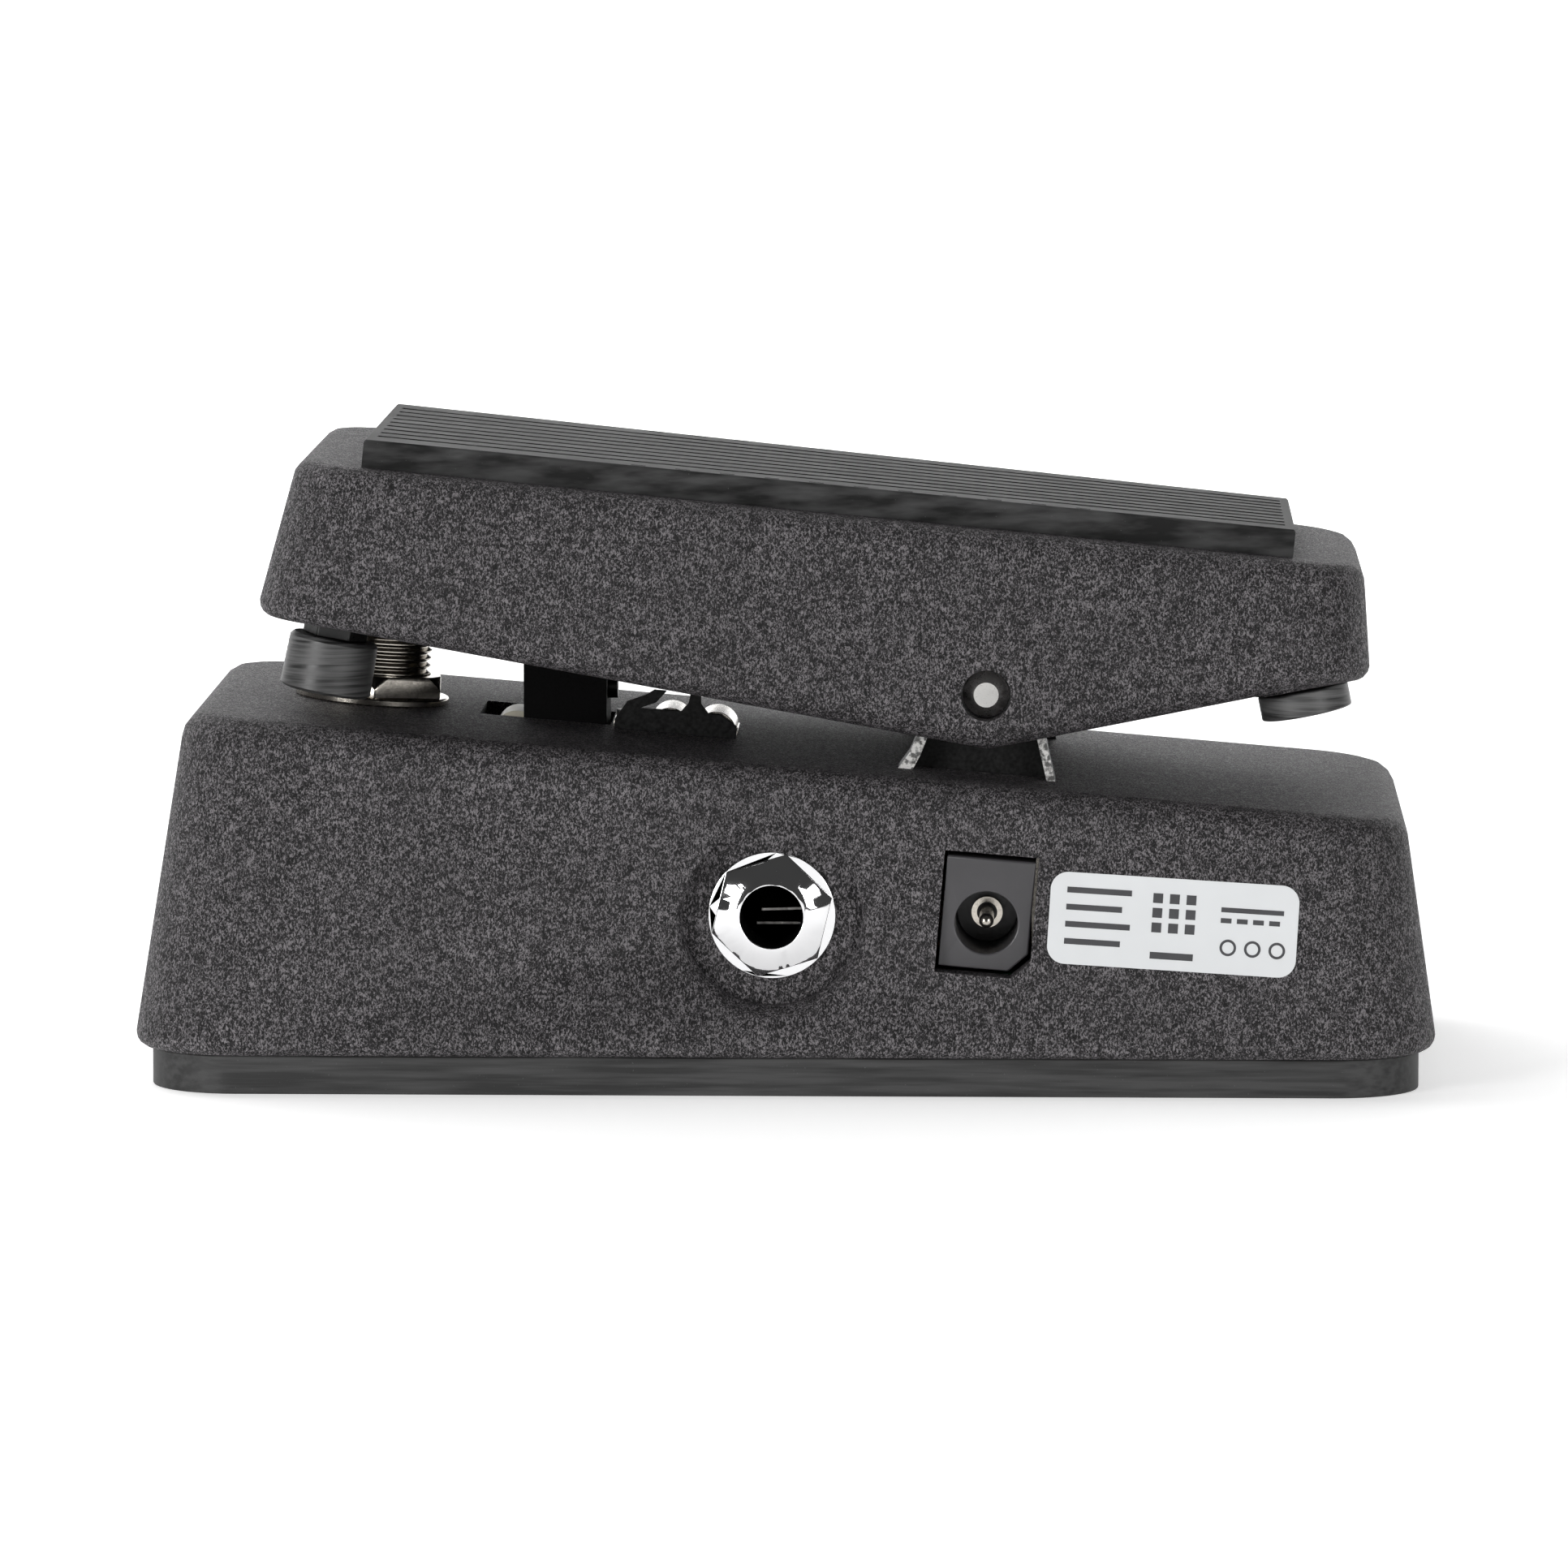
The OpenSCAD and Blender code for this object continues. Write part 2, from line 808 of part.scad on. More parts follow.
module guide_leaf() {
    sheet = 0.8;
    color("#101010")
    on_base(guide_x, guide_y - 4.1 - sheet)
        rotate([90, 0, 0])
            translate([0, 0, -sheet])
                linear_extrude(sheet) {
                    polygon([[-6, 0], [6.4, 0], [6.4, 1.3], [4.6, 2.4], [-4, 2.4], [-6, 1.2]]);
                    polygon([[0.4, 2.3], [3.4, 2.3], [2.5, 3.4], [2.4, 4.4], [1.3, 4.4], [1.2, 3.4]]);
                    polygon([[-6.4, 0], [-5, 0.4], [-4.3, 2.2], [-2.2, 3.1], [-1.2, 4.4], [-2.5, 4.4],
                        [-3.2, 3.9], [-5.2, 3], [-6.4, 1]]);
                }
}

module guide_screw() {
    color(steel)
    on_base(guide_screw_x, guide_y) {
        translate([0, 0, 0.8])
            cylinder(r = 1.4, h = 0.8);
        cylinder(r = 1.15, h = 0.9);
    }
}

// ---- footswitch ----

switch_nut_h = 2.3;
switch_washer_t = 0.8;
switch_top = 8.9;
plunger_r = 3.95;

module switch_body() {
    color(black_plastic)
    on_base(switch_x)
        translate([-8.4, -8.4, -base_wall - 16])
            cube([16.8, 16.8, 16]);
}

module switch_bushing() {
    color(nickel)
    on_base(switch_x)
        difference() {
            translate([0, 0, -base_wall])
                cylinder(r = switch_d / 2, h = base_wall + switch_top);
            translate([0, 0, -base_wall - 1])
                cylinder(r = plunger_r + 0.08, h = 30);
        }
}

module switch_nut() {
    across_flats = 14;
    color(nickel)
    on_base(switch_x)
        translate([0, 0, switch_washer_t])
            difference() {
                intersection() {
                    rotate([0, 0, -84.6])
                        cylinder(r = across_flats / sqrt(3), h = switch_nut_h, $fn = 6);
                    cylinder(r1 = across_flats / 2 + 1.6, r2 = across_flats / 2 + 0.4, h = switch_nut_h);
                }
                translate([0, 0, -1])
                    cylinder(r = switch_d / 2 + 0.02, h = 10);
            }
}

module switch_washer() {
    color(nickel)
    on_base(switch_x)
        difference() {
            cylinder(r = 8.1, h = switch_washer_t);
            translate([0, 0, -1])
                cylinder(r = switch_d / 2 + 0.1, h = 4);
        }
}

module switch_plunger() {
    travel = 2.2;
    color("#cfcac2")
    on_base(switch_x)
        translate([0, 0, -base_wall + travel + 0.2])
            cylinder(r = plunger_r, h = base_wall + switch_top);
}

module switch_lugs() {
    color("#c8a95a")
    on_base(switch_x)
        for (i = [-1 : 1], j = [-1, 1])
            translate([i * 4.8 - 1, j * 4 - 0.4, -base_wall - 16 - 4])
                cube([2, 0.8, 4]);
}

// ---- jacks ----

// Puts children at a jack, with +Z pointing out of the side s
module at_jack(s) {
    translate([jack_x, 0, jack_z])
        rotate([s > 0 ? -90 : 90, 0, 0])
            children();
}

module jack(s) {
    depth = 17;
    chamber = 9;
    color(black_plastic)
    at_jack(s)
        difference() {
            union() {
                translate([0, 0, jack_inner_y - 0.01])
                    cylinder(r = jack_barrel_r, h = jack_face_y - 0.5 - jack_inner_y);
                translate([-6.5, -6.5, jack_inner_y - depth])
                    cube([13, 13, depth]);
            }
            translate([0, 0, jack_inner_y - 5])
                cylinder(r = jack_bore_d / 2, h = 20);
            translate([-chamber / 2, -chamber / 2, jack_inner_y - depth + 1.5])
                cube([chamber, chamber, depth - 5]);
        }
}

module jack_nuts() {
    flange_t = 0.5;
    nut_h = jack_face_y - jack_floor_y;
    color("#e6e6e6")
    for (s = [-1, 1])
        at_jack(s)
            translate([0, 0, jack_floor_y])
                difference() {
                    union() {
                        cylinder(r = 6.5, h = flange_t);
                        intersection() {
                            rotate([0, 0, s < 0 ? 16.7 : -16.7])
                                cylinder(r = 6.4, h = nut_h, $fn = 6);
                            cylinder(r1 = 7.8, r2 = 3.7, h = nut_h);
                        }
                    }
                    translate([0, 0, -1])
                        cylinder(r = jack_barrel_r + 0.02, h = nut_h + 0.5);
                    translate([0, 0, -1])
                        cylinder(r = jack_bore_d / 2, h = nut_h + 2);
                }
}

module jack_contacts() {
    color("#cdbf93")
    for (s = [-1, 1])
        at_jack(s)
            for (t = [-1, 1])
                translate([-0.9, t * 3.9 - 0.2, jack_inner_y - 15])
                    cube([1.8, 0.4, 9]);
}

module at_dc() {
    translate([dc_x, -dc_floor_y, dc_z])
        rotate([0, dc_lean, 0])
            rotate([90, 0, 0])
                children();
}

dc_hole_r = 3.2;
dc_depth = 12;
module dc_jack() {
    color(black_plastic)
    at_dc()
        difference() {
            translate([0, 0, -dc_depth])
                linear_extrude(dc_depth)
                    intersection() {
                        dc_outline(9.1, 11.4, 1.9);
                        square([9.1, 11.4], center = true);
                    }
            translate([0, -dc_hole_drop, -dc_depth + 2])
                cylinder(r = dc_hole_r, h = dc_depth);
        }
}

dc_ring_r = 1.6;
dc_ring_t = 1.2;
module dc_jack_ring() {
    color(nickel)
    at_dc()
        translate([0, -dc_hole_drop, -dc_depth + 2])
            difference() {
                cylinder(r = dc_ring_r, h = dc_ring_t);
                translate([0, 0, -1])
                    cylinder(r = 1.05, h = dc_ring_t + 2);
            }
}

module dc_jack_pin() {
    pin_r = 0.75;
    pin_len = 8.3;
    color(nickel)
    at_dc()
        translate([0, -dc_hole_drop, -dc_depth + 2]) {
            cylinder(r = pin_r, h = pin_len);
            translate([0, 0, pin_len])
                sphere(r = pin_r);
        }
}

module label() {
    thickness = 0.15;
    at_x = 39.9;
    at_z = 17.9;
    color("#c9cccd")
    translate([at_x, -base_side(at_z) - 0.02, at_z])
        rotate([90 - atan(side_draft), 0, 0])
            rotate([0, 0, -3.5])
                linear_extrude(thickness)
                    round_rect(25.4, 9.4, 1.8);
}

// ---- circuit board and battery ----

module circuit_board() {
    color("#1f5a35")
    translate([board_x, 0, board_z])
        difference() {
            linear_extrude(board_t)
                square([board_len, board_w], center = true);
            for (p = board_screw_places)
                translate([p[0], p[1], -1])
                    cylinder(r = 1.3, h = 4);
        }
}

module board_standoffs() {
    color(steel)
    for (p = board_screw_places) {
        x = board_x + p[0];
        bottom = board_z + board_t;
        translate([x, p[1], bottom])
            difference() {
                cylinder(r = 2.4, h = base_ceiling(x) - bottom - 0.25, $fn = 6);
                translate([0, 0, -1])
                    cylinder(r = 1.22, h = 9);
            }
    }
}

module board_screws() {
    color(steel)
    for (p = board_screw_places)
        translate([board_x + p[0], p[1], board_z]) {
            translate([0, 0, -1.4])
                cylinder(r = 2.2, h = 1.4);
            cylinder(r = 1.2, h = 7);
        }
}

// Puts children on top of the circuit board
module on_board(x, y) {
    translate([board_x + x, y, board_z + board_t])
        children();
}

module inductor() {
    color("#7c3b22")
    on_board(0, 8)
        difference() {
            cylinder(r = 5.2, h = 9);
            translate([0, 0, 8])
                cylinder(r = 1.6, h = 2);
        }
}

module capacitors() {
    color("#27324a")
    for (p = [[-6, -2], [-6, 18], [6, 19]])
        on_board(p[0], p[1])
            cylinder(r = 2.5, h = 10);
}

module film_capacitors() {
    color("#8f2f26")
    for (y = [-14, -10, -6])
        on_board(-2 - 1.2, y)
            translate([-3.6, -1.25, 0])
                cube([7.2, 2.5, 6]);
}

module transistors() {
    color(black_plastic)
    for (y = [0, 13.4])
        on_board(7, y)
            intersection() {
                cylinder(r = 2.4, h = 5);
                translate([-3, -3, 0])
                    cube([4.6, 6, 5]);
            }
}

module resistors() {
    color("#c9b183")
    for (i = [0 : 3])
        on_board(6, -13.5 + 3 * i)
            translate([-2.8, 0, 1.2])
                rotate([0, 90, 0])
                    cylinder(r = 1.1, h = 5.6);
}

battery_z = plate_top_z + 0.3;
module battery() {
    color("#6d7073")
    translate([30.2, -14.5, battery_z])
        cube([17.3, 44, 17]);
}

module battery_snap() {
    color(black_plastic)
    translate([30.8, -20.5, battery_z + 1])
        cube([16, 5.8, 12]);
}

base_housing();
bottom_plate();
rubber_foot_pad();
plate_screws();
pivot_bracket();
bracket_screws();
pivot_pin();
treadle();
pivot_bushings();
tread_pad();
toe_bumpers();
toe_bumper_nuts();
heel_bumpers();
rack_arm();
arm_screws();
rack_pin();
rack_screw();
toothed_rack();
pinion();
pot_shaft();
pot_body();
pot_bushing();
pot_nut();
pot_bracket();
pot_bracket_rivets();
rack_guide_clip();
guide_leaf();
guide_screw();
switch_body();
switch_bushing();
switch_nut();
switch_washer();
switch_plunger();
switch_lugs();
jack(1);  // input_jack
jack(-1);  // output_jack
jack_nuts();
jack_contacts();
dc_jack();
dc_jack_ring();
dc_jack_pin();
label();
circuit_board();
board_standoffs();
board_screws();
inductor();
capacitors();
film_capacitors();
transistors();
resistors();
battery();
battery_snap();
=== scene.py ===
"""Looks of a rocker (wah) effects pedal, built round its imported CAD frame.

Metres throughout; MM turns millimetres into metres. X runs from toe to heel,
-Y is the side with the power socket and the label, Z is up.
"""
import json
import math

import bmesh
import bpy
from mathutils import Matrix, Vector

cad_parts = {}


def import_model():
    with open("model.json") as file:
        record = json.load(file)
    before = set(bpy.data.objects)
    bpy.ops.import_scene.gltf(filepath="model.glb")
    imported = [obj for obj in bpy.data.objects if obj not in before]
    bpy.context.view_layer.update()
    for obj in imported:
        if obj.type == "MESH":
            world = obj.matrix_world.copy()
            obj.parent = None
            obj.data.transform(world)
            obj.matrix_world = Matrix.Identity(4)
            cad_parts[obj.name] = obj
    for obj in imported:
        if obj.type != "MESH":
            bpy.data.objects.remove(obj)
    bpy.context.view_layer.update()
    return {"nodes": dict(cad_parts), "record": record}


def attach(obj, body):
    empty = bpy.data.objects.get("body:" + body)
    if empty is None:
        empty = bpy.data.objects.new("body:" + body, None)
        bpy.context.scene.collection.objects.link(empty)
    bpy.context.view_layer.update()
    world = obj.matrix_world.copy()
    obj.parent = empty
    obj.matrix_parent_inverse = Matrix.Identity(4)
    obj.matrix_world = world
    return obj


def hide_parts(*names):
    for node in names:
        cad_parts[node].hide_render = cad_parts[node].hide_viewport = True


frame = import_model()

MM = 0.001

# Numbers shared with the CAD model: millimetres and degrees, and SIDE_DRAFT is a slope
BASE_SLOPE = 4.84
BASE_TOE_H = 38.6
BASE_TOE_X = -59.7
PIVOT = Vector((20.7, 0, 40.6))
TREADLE_TILT = 5.7
TREAD_Z = 16.6
TREAD_T = 2.9
TREAD_TOE_X = -66.2
TREAD_HEEL_X = 30.0
TREAD_TOE_HALF = 25.0
TREAD_HEEL_HALF = 19.5
SWITCH_X = -44.3
TOE_BUMPER = (-68.4, 15, -7.8)
TOE_BUMPER_LEAN = 5
JACK_X = -1.1
HALF_WIDTH = 36
LIP_Z = 5.5
SIDE_DRAFT = 0.114
LABEL_X = 39.9
LABEL_Z = 17.9
LABEL_TURN = -3.5


def base_top(x):
    """Height of the base's sloping top at x, in millimetres."""
    return BASE_TOE_H - math.tan(math.radians(BASE_SLOPE)) * (x - BASE_TOE_X)


def base_frame(x, y=0.0):
    """Matrix in millimetres of a frame on the base's top, Z along its normal."""
    place = Matrix.Translation((x, y, base_top(x)))
    return place @ Matrix.Rotation(math.radians(BASE_SLOPE), 4, "Y")


def tread_half(x):
    """Half the tread's width at x, in the treadle's frame."""
    narrowing = (TREAD_HEEL_HALF - TREAD_TOE_HALF) * (x - TREAD_TOE_X) / (TREAD_HEEL_X - TREAD_TOE_X)
    return TREAD_TOE_HALF + narrowing


TREADLE_FRAME = Matrix.Translation(PIVOT) @ Matrix.Rotation(math.radians(TREADLE_TILT), 4, "Y")


# ---- nodes for materials ----


class Shade:
    """Builds one procedural material, coordinates in millimetres."""

    def __init__(self, name, color, roughness=0.5, metallic=0.0, **sockets):
        self.mat = bpy.data.materials.new(name)
        self.mat.use_nodes = True
        self.tree = self.mat.node_tree
        self.bsdf = self.tree.nodes["Principled BSDF"]
        self.bsdf.inputs["Base Color"].default_value = (*color, 1)
        self.bsdf.inputs["Roughness"].default_value = roughness
        self.bsdf.inputs["Metallic"].default_value = metallic
        for key, value in sockets.items():
            self.bsdf.inputs[key.replace("_", " ")].default_value = value
        self.height = None
        coords = self.node("ShaderNodeTexCoord")
        self.object_coords = coords.outputs["Object"]

    def node(self, kind, **props):
        made = self.tree.nodes.new(kind)
        for key, value in props.items():
            setattr(made, key, value)
        return made

    def link(self, out, socket):
        self.tree.links.new(out, socket)

    def mapped(self, scale):
        """Object coordinates times scale, which is per millimetre along X, Y, Z."""
        mapping = self.node("ShaderNodeMapping")
        mapping.inputs["Scale"].default_value = [s / MM for s in scale]
        self.link(self.object_coords, mapping.inputs["Vector"])
        return mapping.outputs["Vector"]

    def noise(self, per_mm, detail=2.0, rough=0.5, stretch=(1, 1, 1), distortion=0.0):
        tex = self.node("ShaderNodeTexNoise")
        tex.inputs["Scale"].default_value = 1.0
        tex.inputs["Detail"].default_value = detail
        tex.inputs["Roughness"].default_value = rough
        tex.inputs["Distortion"].default_value = distortion
        self.link(self.mapped([per_mm * s for s in stretch]), tex.inputs["Vector"])
        return tex.outputs["Fac"]

    def ramp(self, value, stops):
        """stops: [(position, number or colour), ...]"""
        made = self.node("ShaderNodeValToRGB")
        elements = made.color_ramp.elements
        while len(elements) < len(stops):
            elements.new(0.5)
        for element, (position, tone) in zip(elements, stops):
            element.position = position
            element.color = (*tone, 1) if isinstance(tone, tuple) else (tone, tone, tone, 1)
        self.link(value, made.inputs["Fac"])
        return made.outputs["Color"]

    def math(self, kind, a, b):
        made = self.node("ShaderNodeMath", operation=kind)
        for socket, value in zip(made.inputs, (a, b)):
            if isinstance(value, (int, float)):
                socket.default_value = value
            else:
                self.link(value, socket)
        return made.outputs["Value"]

    def mix(self, factor, a, b):
        made = self.node("ShaderNodeMix", data_type="RGBA")
        for socket, value in ((made.inputs[0], factor), (made.inputs[6], a), (made.inputs[7], b)):
            if isinstance(value, tuple):
                socket.default_value = (*value, 1)
            elif isinstance(value, (int, float)):
                socket.default_value = value
            else:
                self.link(value, socket)
        return made.outputs[2]

    def axis(self, name):
        split = self.node("ShaderNodeSeparateXYZ")
        self.link(self.object_coords, split.inputs[0])
        return self.math("DIVIDE", split.outputs[name], MM)

    def normal_axis(self, name):
        geometry = self.node("ShaderNodeNewGeometry")
        split = self.node("ShaderNodeSeparateXYZ")
        self.link(geometry.outputs["True Normal"], split.inputs[0])
        return split.outputs[name]

    def color(self, value):
        self.link(value, self.bsdf.inputs["Base Color"])
        return self

    def roughness(self, value):
        self.link(value, self.bsdf.inputs["Roughness"])
        return self

    def bump(self, height, depth_mm, strength=1.0):
        made = self.node("ShaderNodeBump")
        made.inputs["Distance"].default_value = depth_mm * MM
        made.inputs["Strength"].default_value = strength
        self.link(height, made.inputs["Height"])
        if self.height is not None:
            self.link(self.height, made.inputs["Normal"])
        self.height = made.outputs["Normal"]
        self.link(self.height, self.bsdf.inputs["Normal"])
        return self


def crinkle_paint():
    """Black powder coat that dried into fine wrinkles, with painted highlights on their crests and painted
    shade in their troughs.
    """
    s = Shade("crinkle_paint", (0.04, 0.04, 0.04), 0.5, Specular_IOR_Level=0.3)
    fine = s.noise(4.8, detail=2, rough=0.6, stretch=(1.2, 1, 0.75), distortion=0.9)
    coarse = s.noise(1.1, detail=2, rough=0.5)
    patches = s.noise(0.12, detail=2)
    crest = s.math("ADD", s.math("MULTIPLY", fine, 0.82), s.math("MULTIPLY", coarse, 0.18))
    # Colour follows the wrinkle height: crests get a painted highlight, troughs a painted shade darker than
    # the black paint itself.
    tone = s.ramp(crest, [(0.4, (0.002, 0.0018, 0.002)), (0.5, (0.022, 0.0202, 0.022)),
                          (0.6, (0.21, 0.197, 0.206))])
    s.color(s.mix(s.ramp(patches, [(0.35, 0.0), (0.75, 0.2)]), tone, (0.016, 0.0155, 0.016)))
    s.roughness(s.ramp(fine, [(0.35, 0.7), (0.65, 0.5)]))
    s.bump(coarse, 0.08, 0.4)
    return s.bump(fine, 0.2, 0.9).mat


def rubber(name, tone, per_mm=1.5, streaks=(0.05, 1, 1), rough=0.5, gloss=0.5):
    """Matte black rubber with faint moulding streaks and dust."""
    s = Shade(name, (tone,) * 3, rough, Specular_IOR_Level=gloss)
    streak = s.noise(per_mm, detail=3, stretch=streaks)
    dust = s.noise(5, detail=1)
    body = s.ramp(streak, [(0.36, tone * 0.35), (0.64, tone * 1.8)])
    speck = s.ramp(dust, [(0.76, 0.0), (0.82, 0.5)])
    s.color(s.mix(speck, body, (0.16, 0.16, 0.16)))
    s.roughness(s.ramp(streak, [(0.3, rough - 0.1), (0.7, rough + 0.12)]))
    return s.bump(streak, 0.03, 0.5).mat


def metal(name, color, rough, brush=(1, 1, 1), per_mm=2.0, depth=0.01, dark=0.75):
    """Plated or ground metal with fine tool marks and slight staining."""
    s = Shade(name, color, rough, 1.0)
    marks = s.noise(per_mm, detail=4, rough=0.6, stretch=brush)
    stain = s.noise(0.25, detail=2)
    s.color(s.ramp(stain, [(0.3, tuple(c * dark for c in color)), (0.7, color)]))
    s.roughness(s.ramp(marks, [(0.3, rough * 0.7), (0.7, min(1.0, rough * 1.5))]))
    return s.bump(marks, depth, 0.5).mat


def plastic(name, color, rough=0.4, grain=4.0, depth=0.02, mottle=0.2, gloss=0.5):
    """Moulded plastic with a light grain and mottling."""
    s = Shade(name, color, rough, Specular_IOR_Level=gloss)
    fine = s.noise(grain, detail=2)
    broad = s.noise(0.2, detail=2)
    s.color(s.ramp(broad, [(0.3, tuple(c * (1 - mottle) for c in color)), (0.7, color)]))
    s.roughness(s.ramp(fine, [(0.3, rough * 0.8), (0.7, min(1.0, rough * 1.25))]))
    return s.bump(fine, depth, 0.5).mat


def bracket_steel():
    """Black coated sheet whose cut edges are bare and bright."""
    s = Shade("black_steel", (0.012, 0.012, 0.012), 0.45, 0.0, Specular_IOR_Level=0.15)
    bare_beyond_y, facing_sideways = 22.3, 0.8
    grain = s.noise(2.5, detail=3)
    facing = s.math("ABSOLUTE", s.normal_axis("Y"), 0.0)
    outer = s.math("GREATER_THAN", s.math("ABSOLUTE", s.axis("Y"), 0.0), bare_beyond_y)
    edge = s.math("MULTIPLY", s.math("GREATER_THAN", facing, facing_sideways), outer)
    worn = s.math("MULTIPLY", edge, s.ramp(grain, [(0.42, 0.15), (0.6, 0.95)]))
    s.color(s.mix(worn, s.ramp(grain, [(0.3, 0.006), (0.7, 0.02)]), (0.85, 0.84, 0.82)))
    s.roughness(s.ramp(grain, [(0.3, 0.35), (0.7, 0.55)]))
    return s.bump(grain, 0.03, 0.6).mat


MATERIALS = {
    "crinkle_paint": crinkle_paint(),
    "foot_rubber": rubber("foot_rubber", 0.026, rough=0.6),
    "tread_rubber": rubber("tread_rubber", 0.035, per_mm=1.1, streaks=(0.12, 1, 0.6), rough=0.6,
                           gloss=0.15),
    "bumper_rubber": rubber("bumper_rubber", 0.06, per_mm=4, streaks=(0.03, 0.03, 1), rough=0.42),
    "black_steel": bracket_steel(),
    "black_screw": metal("black_screw", (0.05, 0.05, 0.05), 0.35),
    "zinc_steel": metal("zinc_steel", (0.5, 0.49, 0.47), 0.35),
    "bright_steel": metal("bright_steel", (0.72, 0.71, 0.69), 0.32, per_mm=6, depth=0.02),
    "nickel": metal("nickel", (0.6, 0.56, 0.5), 0.16, per_mm=3),
    "chrome": metal("chrome", (0.86, 0.86, 0.87), 0.05, per_mm=0.6, depth=0.004, dark=0.95),
    "brass": metal("brass", (0.72, 0.56, 0.28), 0.28),
    "dark_nylon": plastic("dark_nylon", (0.02, 0.02, 0.02), 0.2),
    "nylon": plastic("nylon", (0.78, 0.73, 0.6), 0.4),
    "black_plastic": plastic("black_plastic", (0.003, 0.0028, 0.003), 0.6, gloss=0.08),
    "socket_plastic": plastic("socket_plastic", (0.062, 0.06, 0.064), 0.35, grain=3),
    "label_film": plastic("label_film", (0.72, 0.735, 0.745), 0.5, grain=8, depth=0.005, mottle=0.03),
    "label_ink": plastic("label_ink", (0.06, 0.06, 0.065), 0.5, grain=8, depth=0.005),
    "board": plastic("board", (0.03, 0.14, 0.06), 0.35),
    "inductor_can": plastic("inductor_can", (0.3, 0.08, 0.03), 0.25),
    "capacitor_sleeve": plastic("capacitor_sleeve", (0.03, 0.05, 0.14), 0.3),
    "film_capacitor": plastic("film_capacitor", (0.35, 0.05, 0.03), 0.25),
    "resistor_body": plastic("resistor_body", (0.55, 0.42, 0.25), 0.35),
    "battery_case": plastic("battery_case", (0.2, 0.21, 0.23), 0.3),
}
SLOT_OF = {s["node"]: s["material_slot"] for s in frame["record"]["subparts"]}
BODY_OF = {n: b for b, nodes in frame["record"]["behaviour"]["bodies"].items() for n in nodes}


# ---- mesh helpers ----


def smooth_by_angle(mesh, degrees=32):
    mesh.shade_smooth()
    mesh.set_sharp_from_angle(angle=math.radians(degrees))


def finish_piece(obj, body, material, replaced=(), angle=32):
    """Gives obj its material, body and slot, and lets it stand for CAD nodes."""
    obj.data.materials.clear()
    obj.data.materials.append(MATERIALS[material])
    smooth_by_angle(obj.data, angle)
    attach(obj, body)
    if replaced:
        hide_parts(*replaced)


def new_object(name, bm):
    """Turns bm, in millimetres, into an object in metres."""
    bm.transform(Matrix.Scale(MM, 4))
    bmesh.ops.recalc_face_normals(bm, faces=bm.faces)
    mesh = bpy.data.meshes.new(name)
    bm.to_mesh(mesh)
    bm.free()
    obj = bpy.data.objects.new(name, mesh)
    bpy.context.collection.objects.link(obj)
    return obj


def bevel(obj, width_mm):
    """Rounds the edges sharper than 30 degrees."""
    made = obj.modifiers.new("edges", "BEVEL")
    made.width = width_mm * MM
    made.segments = 3
    made.limit_method = "ANGLE"
    made.angle_limit = math.radians(30)


def refined(node, width_mm=0.0):
    """A copy of a CAD node with its seams merged and, when width_mm is given, its sharp edges rounded."""
    source = frame["nodes"][node]
    bm = bmesh.new()
    bm.from_mesh(source.data)
    bmesh.ops.remove_doubles(bm, verts=bm.verts, dist=0.002 * MM)
    bmesh.ops.dissolve_limit(bm, angle_limit=math.radians(0.5), verts=bm.verts, edges=bm.edges)
    mesh = bpy.data.meshes.new(node + "_skin")
    bm.to_mesh(mesh)
    bm.free()
    obj = bpy.data.objects.new(node + "_skin", mesh)
    bpy.context.collection.objects.link(obj)
    finish_piece(obj, BODY_OF[node], SLOT_OF[node], [node])
    if width_mm:
        bevel(obj, width_mm)


def lathe(name, profile, matrix, steps=96):
    """Turns profile, a list of (radius, height) in millimetres, about Z."""
    bm = bmesh.new()
    rings = []
    for radius, height in profile:
        if radius < 1e-6:
            rings.append([bm.verts.new((0, 0, height))])
        else:
            rings.append([bm.verts.new((radius * math.cos(t), radius * math.sin(t), height))
                          for t in (2 * math.pi * i / steps for i in range(steps))])
    for low, high in zip(rings, rings[1:]):
        for i in range(steps):
            j = (i + 1) % steps
            corners = [low[i % len(low)], low[j % len(low)], high[j % len(high)], high[i % len(high)]]
            unique = list(dict.fromkeys(corners))
            if len(unique) > 2:
                bm.faces.new(unique)
    bm.transform(matrix)
    return new_object(name, bm)


def extrude_outline(bm, outline, direction):
    """A closed prism from a flat outline of points, along a vector."""
    bottom = [bm.verts.new(p) for p in outline]
    top = [bm.verts.new(Vector(p) + Vector(direction)) for p in outline]
    bm.faces.new(bottom)
    bm.faces.new(list(reversed(top)))
    for i in range(len(outline)):
        j = (i + 1) % len(outline)
        bm.faces.new((bottom[i], bottom[j], top[j], top[i]))


# ---- pieces ----


